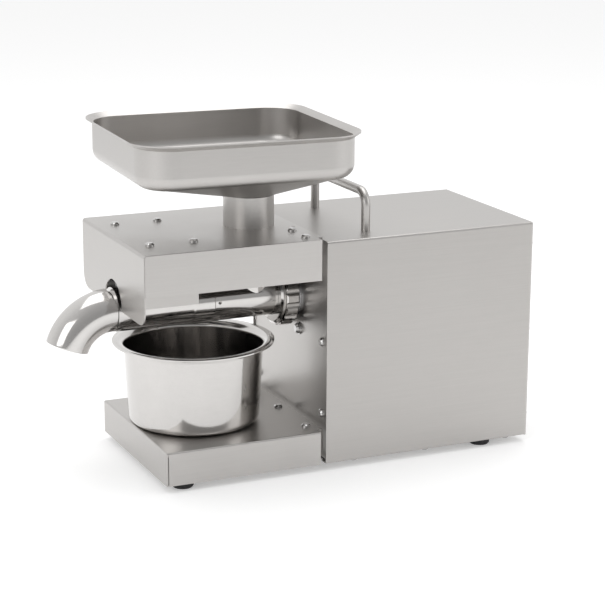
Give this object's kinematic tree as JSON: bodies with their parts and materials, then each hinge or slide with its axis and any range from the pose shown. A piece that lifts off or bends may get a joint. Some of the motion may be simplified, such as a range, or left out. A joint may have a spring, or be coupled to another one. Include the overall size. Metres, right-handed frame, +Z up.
{
  "type": "screw oil press",
  "caption": "Benchtop screw oil press in satin stainless steel: seed pan, heated press barrel with lock nut, bent cake spout, oil bowl on a low tray and a boxed geared motor.",
  "frame": {"origin": "middle of the overall length and width, on the floor under the feet", "axes": "+Z up, -X towards the cake spout, +X towards the motor end, -Y towards the side with the near skirt"},
  "size_m": [0.4335, 0.2038, 0.3003],
  "materials": {
    "satin_steel": "satin",
    "polished_steel": "polished",
    "machined_steel": "machined",
    "screw_steel": "bright",
    "cast_aluminium": "cast",
    "motor_steel": "satin",
    "copper": "turned",
    "heater_steel": "heat tinted",
    "black_rubber": "matt",
    "black_plastic": "matt",
    "red_plastic": "gloss",
    "rocker_black": "gloss",
    "board_green": "satin"
  },
  "bodies": {
    "housing": {"housing_cover": "satin_steel", "front_panel": "satin_steel", "rear_panel": "satin_steel", "base_plate": "satin_steel", "base_tray": "satin_steel", "tray_bracket": "satin_steel", "hood_bracket": "satin_steel", "hood_shell": "satin_steel", "hood_near_skirt": "satin_steel", "hood_far_skirt": "satin_steel", "heater_cradle": "satin_steel", "feed_neck": "satin_steel", "carry_handle": "satin_steel", "motor_saddle": "satin_steel", "board_bracket": "satin_steel", "barrel_socket": "machined_steel", "output_bearings": "machined_steel", "layshaft_bearings": "machined_steel", "foot_screws": "screw_steel", "hood_screws": "screw_steel", "cradle_screws": "screw_steel", "tray_screws": "screw_steel", "panel_screws": "screw_steel", "bracket_screws": "screw_steel", "gearbox_screws": "screw_steel", "gearbox_cover_screws": "screw_steel", "housing_screws": "screw_steel", "handle_nuts": "screw_steel", "gearbox_casing": "cast_aluminium", "gearbox_cover": "cast_aluminium", "heater_block": "cast_aluminium", "motor_can": "motor_steel", "motor_end_cap": "motor_steel", "motor_magnets": "motor_steel", "heater_rods": "heater_steel", "feet": "black_rubber", "power_inlet": "black_plastic", "power_switch_frame": "black_plastic", "direction_switch_frame": "black_plastic", "brush_holders": "black_plastic", "thermostat": "black_plastic", "control_board": "board_green"},
    "press_screw": {"press_screw": "machined_steel", "output_shaft": "machined_steel", "output_gear": "machined_steel"},
    "layshaft": {"layshaft": "machined_steel", "layshaft_gear": "machined_steel"},
    "motor_rotor": {"motor_shaft": "machined_steel", "motor_pinion": "machined_steel", "rotor_core": "motor_steel", "commutator": "copper", "cooling_fan": "black_plastic"},
    "press_barrel": {"press_barrel": "polished_steel", "cake_nozzle": "machined_steel"},
    "lock_nut": {"lock_nut": "polished_steel"},
    "residue_spout": {"residue_spout": "polished_steel"},
    "hopper_pan": {"hopper_pan": "satin_steel"},
    "oil_bowl": {"oil_bowl": "polished_steel"},
    "power_rocker": {"power_rocker": "red_plastic"},
    "direction_rocker": {"direction_rocker": "rocker_black"}
  },
  "joints": [
    {"name": "press_screw_turn", "type": "hinge", "parent": "housing", "child": "press_screw", "pos_m": [0, 0, 0.1445], "axis": [1, 0, 0], "continuous": true},
    {"name": "layshaft_turn", "type": "hinge", "parent": "housing", "child": "layshaft", "pos_m": [0, 0, 0.092], "axis": [1, 0, 0], "continuous": true},
    {"name": "motor_turn", "type": "hinge", "parent": "housing", "child": "motor_rotor", "pos_m": [0, 0, 0.0545], "axis": [1, 0, 0], "continuous": true},
    {"name": "barrel_pull", "type": "slide", "parent": "housing", "child": "press_barrel", "axis": [-1, 0, 0], "range_m": [0, 0.035]},
    {"name": "lock_nut_turn", "type": "hinge", "parent": "press_barrel", "child": "lock_nut", "pos_m": [0, 0, 0.1445], "axis": [-1, 0, 0], "range_deg": [0, 720]},
    {"name": "spout_pull", "type": "slide", "parent": "press_barrel", "child": "residue_spout", "axis": [-1, 0, 0], "range_m": [0, 0.014]},
    {"name": "pan_lift", "type": "slide", "parent": "housing", "child": "hopper_pan", "axis": [0, 0, 1], "range_m": [0, 0.06]},
    {"name": "bowl_slide", "type": "slide", "parent": "housing", "child": "oil_bowl", "axis": [0, -1, 0], "range_m": [0, 0.16]},
    {"name": "power_rocker_tip", "type": "hinge", "parent": "housing", "child": "power_rocker", "pos_m": [0.21116, -0.048, 0.112], "axis": [0, 1, 0], "range_deg": [0, 16]},
    {"name": "direction_rocker_tip", "type": "hinge", "parent": "housing", "child": "direction_rocker", "pos_m": [0.21116, -0.048, 0.152], "axis": [0, 1, 0], "range_deg": [-8, 8]}
  ],
  "couplings": [
    {"joint": "layshaft_turn", "follows": "press_screw_turn", "ratio": -4},
    {"joint": "motor_turn", "follows": "press_screw_turn", "ratio": 16}
  ]
}
